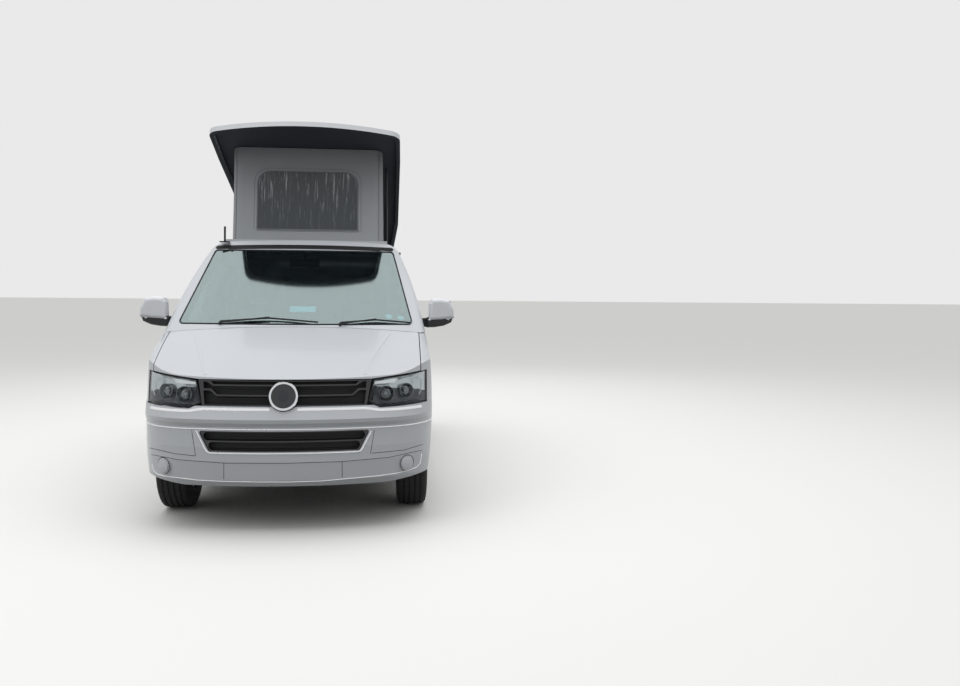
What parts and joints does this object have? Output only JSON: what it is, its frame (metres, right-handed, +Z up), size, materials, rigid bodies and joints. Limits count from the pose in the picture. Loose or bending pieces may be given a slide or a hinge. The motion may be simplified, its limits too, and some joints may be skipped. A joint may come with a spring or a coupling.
{
  "type": "camper van",
  "caption": "Silver panel-van camper with a rear-hinged lifting roof on canvas walls, opening doors, bonnet and tailgate, and steered wheels.",
  "frame": {"origin": "bottom centre of the bounding box, on the ground between the wheels", "axes": "+Z up, -Y towards the nose, +X towards the vehicle's left"},
  "size_m": [2.2892, 4.8916, 2.8442],
  "materials": {
    "body_paint": "satin silver metallic paint",
    "roof_shell": "painted glass-fibre moulding",
    "glass": "clear, slightly green",
    "dark_glass": "dark tinted",
    "lens": "clear moulded lens",
    "lamp_dark": "dark housing with bright bowls",
    "lamp_red": "red and clear moulded lens",
    "grille_black": "black with a soft shine",
    "black_plastic": "grained black",
    "mirror_case": "painted shell on a black base",
    "dash_plastic": "grained dark grey",
    "seat_cloth": "woven dark grey",
    "board": "laminated light board",
    "canvas": "grey tent canvas",
    "underbody": "dusty black underseal",
    "cast_metal": "bare casting",
    "engine_metal": "dull casting",
    "exhaust_steel": "dull steel",
    "aluminium": "drawn section",
    "alloy": "silver painted alloy",
    "tyre": "black rubber"
  },
  "bodies": {
    "van_body": {"awning_rail": "aluminium", "bench_base": "board", "body_shell": "body_paint", "bumper_blanks": "body_paint", "chassis_rails": "underbody", "dashboard": "dash_plastic", "driver_seat": "seat_cloth", "engine_block": "engine_metal", "exhaust": "exhaust_steel", "floor_pan": "underbody", "front_bumper": "body_paint", "front_suspension": "underbody", "front_wings": "body_paint", "fuel_tank": "black_plastic", "headlight_lenses": "lens", "headlights": "lamp_dark", "kitchen_unit": "board", "lower_grille": "grille_black", "passenger_seat": "seat_cloth", "radiator": "black_plastic", "rear_axle": "underbody", "rear_bench": "seat_cloth", "rear_bumper": "body_paint", "rear_lamps": "lamp_red", "roof_canvas": "canvas", "roof_frame": "black_plastic", "seat_bases": "black_plastic", "side_windows": "dark_glass", "sliding_door": "body_paint", "upper_grille": "grille_black", "windscreen": "glass", "wipers": "black_plastic"},
    "bonnet": {"bonnet": "body_paint"},
    "front_door_left": {"front_door_left": "body_paint", "front_door_glass_left": "glass", "mirror_left": "mirror_case"},
    "front_door_right": {"front_door_right": "body_paint", "front_door_glass_right": "glass", "mirror_right": "mirror_case"},
    "tailgate": {"tailgate": "body_paint", "tailgate_glass": "dark_glass"},
    "lifting_roof": {"roof_shell": "roof_shell"},
    "steering_wheel": {"steering_wheel": "dash_plastic"},
    "knuckle_left": {"knuckle_left": "cast_metal"},
    "knuckle_right": {"knuckle_right": "cast_metal"},
    "wheel_front_left": {"tyre_front_left": "tyre", "rim_front_left": "alloy"},
    "wheel_front_right": {"tyre_front_right": "tyre", "rim_front_right": "alloy"},
    "wheel_rear_left": {"tyre_rear_left": "tyre", "rim_rear_left": "alloy"},
    "wheel_rear_right": {"tyre_rear_right": "tyre", "rim_rear_right": "alloy"}
  },
  "joints": [
    {"name": "bonnet_hinge", "type": "hinge", "parent": "van_body", "child": "bonnet", "pos_m": [0, -1.634, 1.3], "axis": [-1, 0, 0], "range_deg": [0, 58]},
    {"name": "front_door_left_hinge", "type": "hinge", "parent": "van_body", "child": "front_door_left", "pos_m": [0.952, -1.454, 0.8], "axis": [0, 0, -1], "range_deg": [0, 65]},
    {"name": "front_door_right_hinge", "type": "hinge", "parent": "van_body", "child": "front_door_right", "pos_m": [-0.952, -1.454, 0.8], "axis": [0, 0, 1], "range_deg": [0, 65]},
    {"name": "tailgate_hinge", "type": "hinge", "parent": "van_body", "child": "tailgate", "pos_m": [0, 2.199, 1.861], "axis": [1, 0, 0], "range_deg": [0, 85]},
    {"name": "roof_hinge", "type": "hinge", "parent": "van_body", "child": "lifting_roof", "pos_m": [0, 2.004, 1.985], "axis": [1, 0, 0], "range_deg": [0, 15.9], "deforming": ["roof_canvas"]},
    {"name": "steering", "type": "hinge", "parent": "van_body", "child": "steering_wheel", "pos_m": [-0.4, -0.946, 1.15], "axis": [0, 0.5, 0.866], "range_deg": [-525, 525]},
    {"name": "knuckle_left_kingpin", "type": "hinge", "parent": "van_body", "child": "knuckle_left", "pos_m": [0.705, -1.552, 0.344], "axis": [0, 0, 1], "range_deg": [-35, 35]},
    {"name": "knuckle_right_kingpin", "type": "hinge", "parent": "van_body", "child": "knuckle_right", "pos_m": [-0.705, -1.552, 0.344], "axis": [0, 0, 1], "range_deg": [-35, 35]},
    {"name": "wheel_front_left_spin", "type": "hinge", "parent": "knuckle_left", "child": "wheel_front_left", "pos_m": [0.82, -1.552, 0.344], "axis": [1, 0, 0], "continuous": true},
    {"name": "wheel_front_right_spin", "type": "hinge", "parent": "knuckle_right", "child": "wheel_front_right", "pos_m": [-0.82, -1.552, 0.344], "axis": [1, 0, 0], "continuous": true},
    {"name": "wheel_rear_left_spin", "type": "hinge", "parent": "van_body", "child": "wheel_rear_left", "pos_m": [0.82, 1.448, 0.344], "axis": [1, 0, 0], "continuous": true},
    {"name": "wheel_rear_right_spin", "type": "hinge", "parent": "van_body", "child": "wheel_rear_right", "pos_m": [-0.82, 1.448, 0.344], "axis": [1, 0, 0], "continuous": true}
  ],
  "couplings": [
    {"joint": "knuckle_left_kingpin", "follows": "steering", "ratio": 0.066667},
    {"joint": "knuckle_right_kingpin", "follows": "steering", "ratio": 0.066667}
  ]
}
